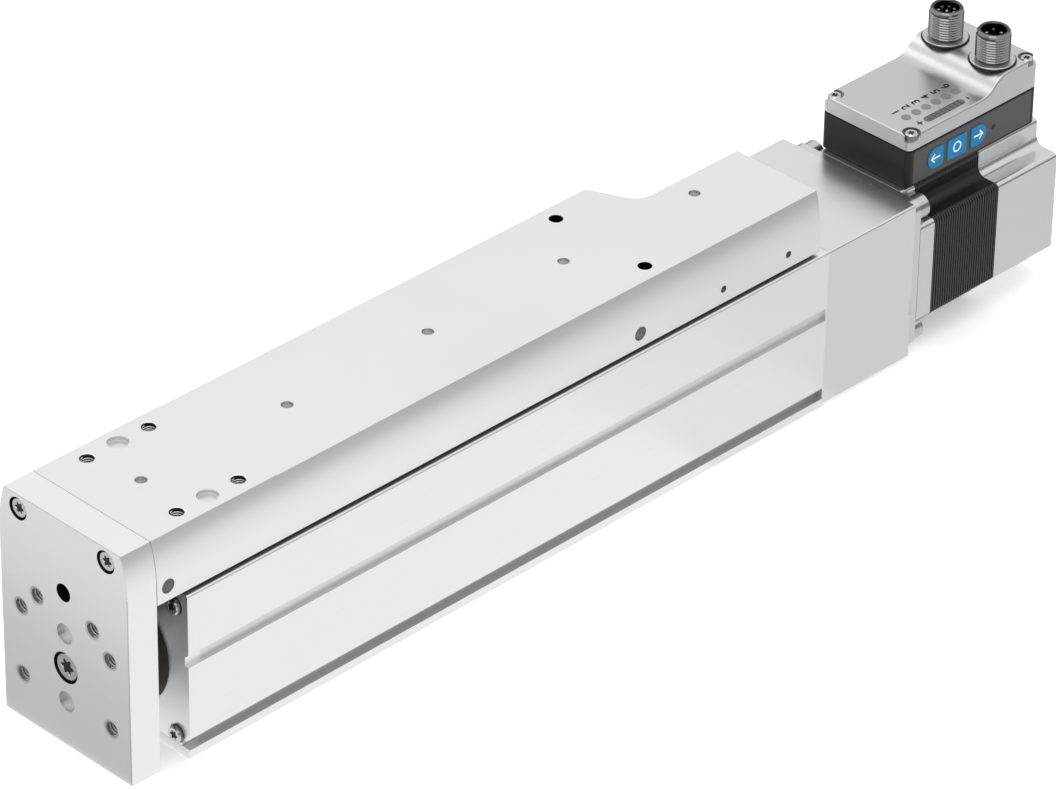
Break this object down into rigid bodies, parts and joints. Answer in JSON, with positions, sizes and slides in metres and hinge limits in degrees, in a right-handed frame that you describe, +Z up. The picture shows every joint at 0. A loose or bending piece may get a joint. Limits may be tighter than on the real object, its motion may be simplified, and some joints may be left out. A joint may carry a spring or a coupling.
{
  "type": "electric mini slide",
  "caption": "Slim electric linear slide: square aluminium housing, rail-guided table with end yoke and piston rod, in-line motor with drive unit, keys and two round plug connectors.",
  "frame": {"origin": "centre of the housing profile's flat mounting face", "axes": "+X along the slide towards the motor, +Z up from the mounting face to the table, keys on the -Y side; the table and yoke move out towards -X"},
  "size_m": [0.4211, 0.06, 0.096],
  "materials": {
    "anodised_aluminium": "satin anodised",
    "cast_aluminium": "fine cast and machined",
    "black_laminations": "black painted",
    "bare_steel": "ground",
    "screw_steel": "bright zinc plated",
    "hard_chrome": "polished",
    "nickel": "bright nickel plated",
    "gold_plate": "plated",
    "bearing_bronze": "sintered",
    "black_plastic": "satin",
    "grey_panel": "satin",
    "blue_keys": "smooth",
    "lamp_plastic": "clear moulded",
    "hub_aluminium": "turned",
    "black_rubber": "matt",
    "blue_elastomer": "matt",
    "circuit_board": "lacquered"
  },
  "bodies": {
    "base": {"housing_profile": "anodised_aluminium", "front_cover": "anodised_aluminium", "front_cover_screws": "screw_steel", "rod_seal_cap": "black_plastic", "rod_wiper": "black_rubber", "rod_bush": "bearing_bronze", "front_buffer": "black_rubber", "rear_buffer": "black_rubber", "guide_block_1": "bare_steel", "guide_block_2": "bare_steel", "guide_block_caps": "black_plastic", "guide_block_screws": "screw_steel", "coupling_housing": "anodised_aluminium", "coupling_housing_screws": "screw_steel", "spindle_bearing_outer": "bare_steel", "spindle_bearing_balls": "bare_steel", "bearing_retainer": "bare_steel", "motor_flange": "cast_aluminium", "motor_screws": "screw_steel", "stator": "black_laminations", "motor_bearing_outer": "bare_steel", "motor_bearing_balls": "bare_steel", "motor_rear_housing": "cast_aluminium", "motor_end_plate": "cast_aluminium", "end_plate_screws": "screw_steel", "encoder_board": "circuit_board", "drive_box": "black_plastic", "drive_board": "circuit_board", "drive_gasket": "black_rubber", "drive_cover": "cast_aluminium", "drive_cover_screws": "screw_steel", "lamp_lenses": "lamp_plastic", "level_bar_lenses": "lamp_plastic", "power_connector_shell": "nickel", "signal_connector_shell": "nickel", "connector_inserts": "black_plastic", "connector_pins": "gold_plate", "connector_seals": "black_rubber", "control_panel": "grey_panel"},
    "table": {"slide_table": "anodised_aluminium", "yoke_plate": "anodised_aluminium", "yoke_screws": "screw_steel", "rod_screw": "screw_steel", "piston_rod": "hard_chrome", "ball_nut": "bare_steel", "guide_rail": "bare_steel", "rail_screws": "screw_steel"},
    "spindle": {"ball_screw": "bare_steel", "spindle_bearing_inner": "bare_steel", "spindle_lock_nut": "bare_steel", "spindle_hub": "hub_aluminium", "coupling_star": "blue_elastomer", "motor_hub": "hub_aluminium", "motor_shaft": "bare_steel", "rotor": "bare_steel", "motor_bearing_inner": "bare_steel", "encoder_magnet": "bare_steel"},
    "left_key": {"key_left": "blue_keys"},
    "middle_key": {"key_middle": "blue_keys"},
    "right_key": {"key_right": "blue_keys"}
  },
  "joints": [
    {"name": "table_slide", "type": "slide", "parent": "base", "child": "table", "axis": [-1, 0, 0], "range_m": [0, 0.2]},
    {"name": "spindle_turn", "type": "hinge", "parent": "base", "child": "spindle", "pos_m": [0, 0, 0.03], "axis": [1, 0, 0], "range_deg": [0, 6001]},
    {"name": "left_key_press", "type": "slide", "parent": "base", "child": "left_key", "axis": [0, 1, 0], "range_m": [0, 0.0004], "stiffness_N_per_m": 2000},
    {"name": "middle_key_press", "type": "slide", "parent": "base", "child": "middle_key", "axis": [0, 1, 0], "range_m": [0, 0.0004], "stiffness_N_per_m": 2000},
    {"name": "right_key_press", "type": "slide", "parent": "base", "child": "right_key", "axis": [0, 1, 0], "range_m": [0, 0.0004], "stiffness_N_per_m": 2000}
  ],
  "couplings": [
    {"joint": "spindle_turn", "follows": "table_slide", "rad_per_m": 523.6}
  ]
}
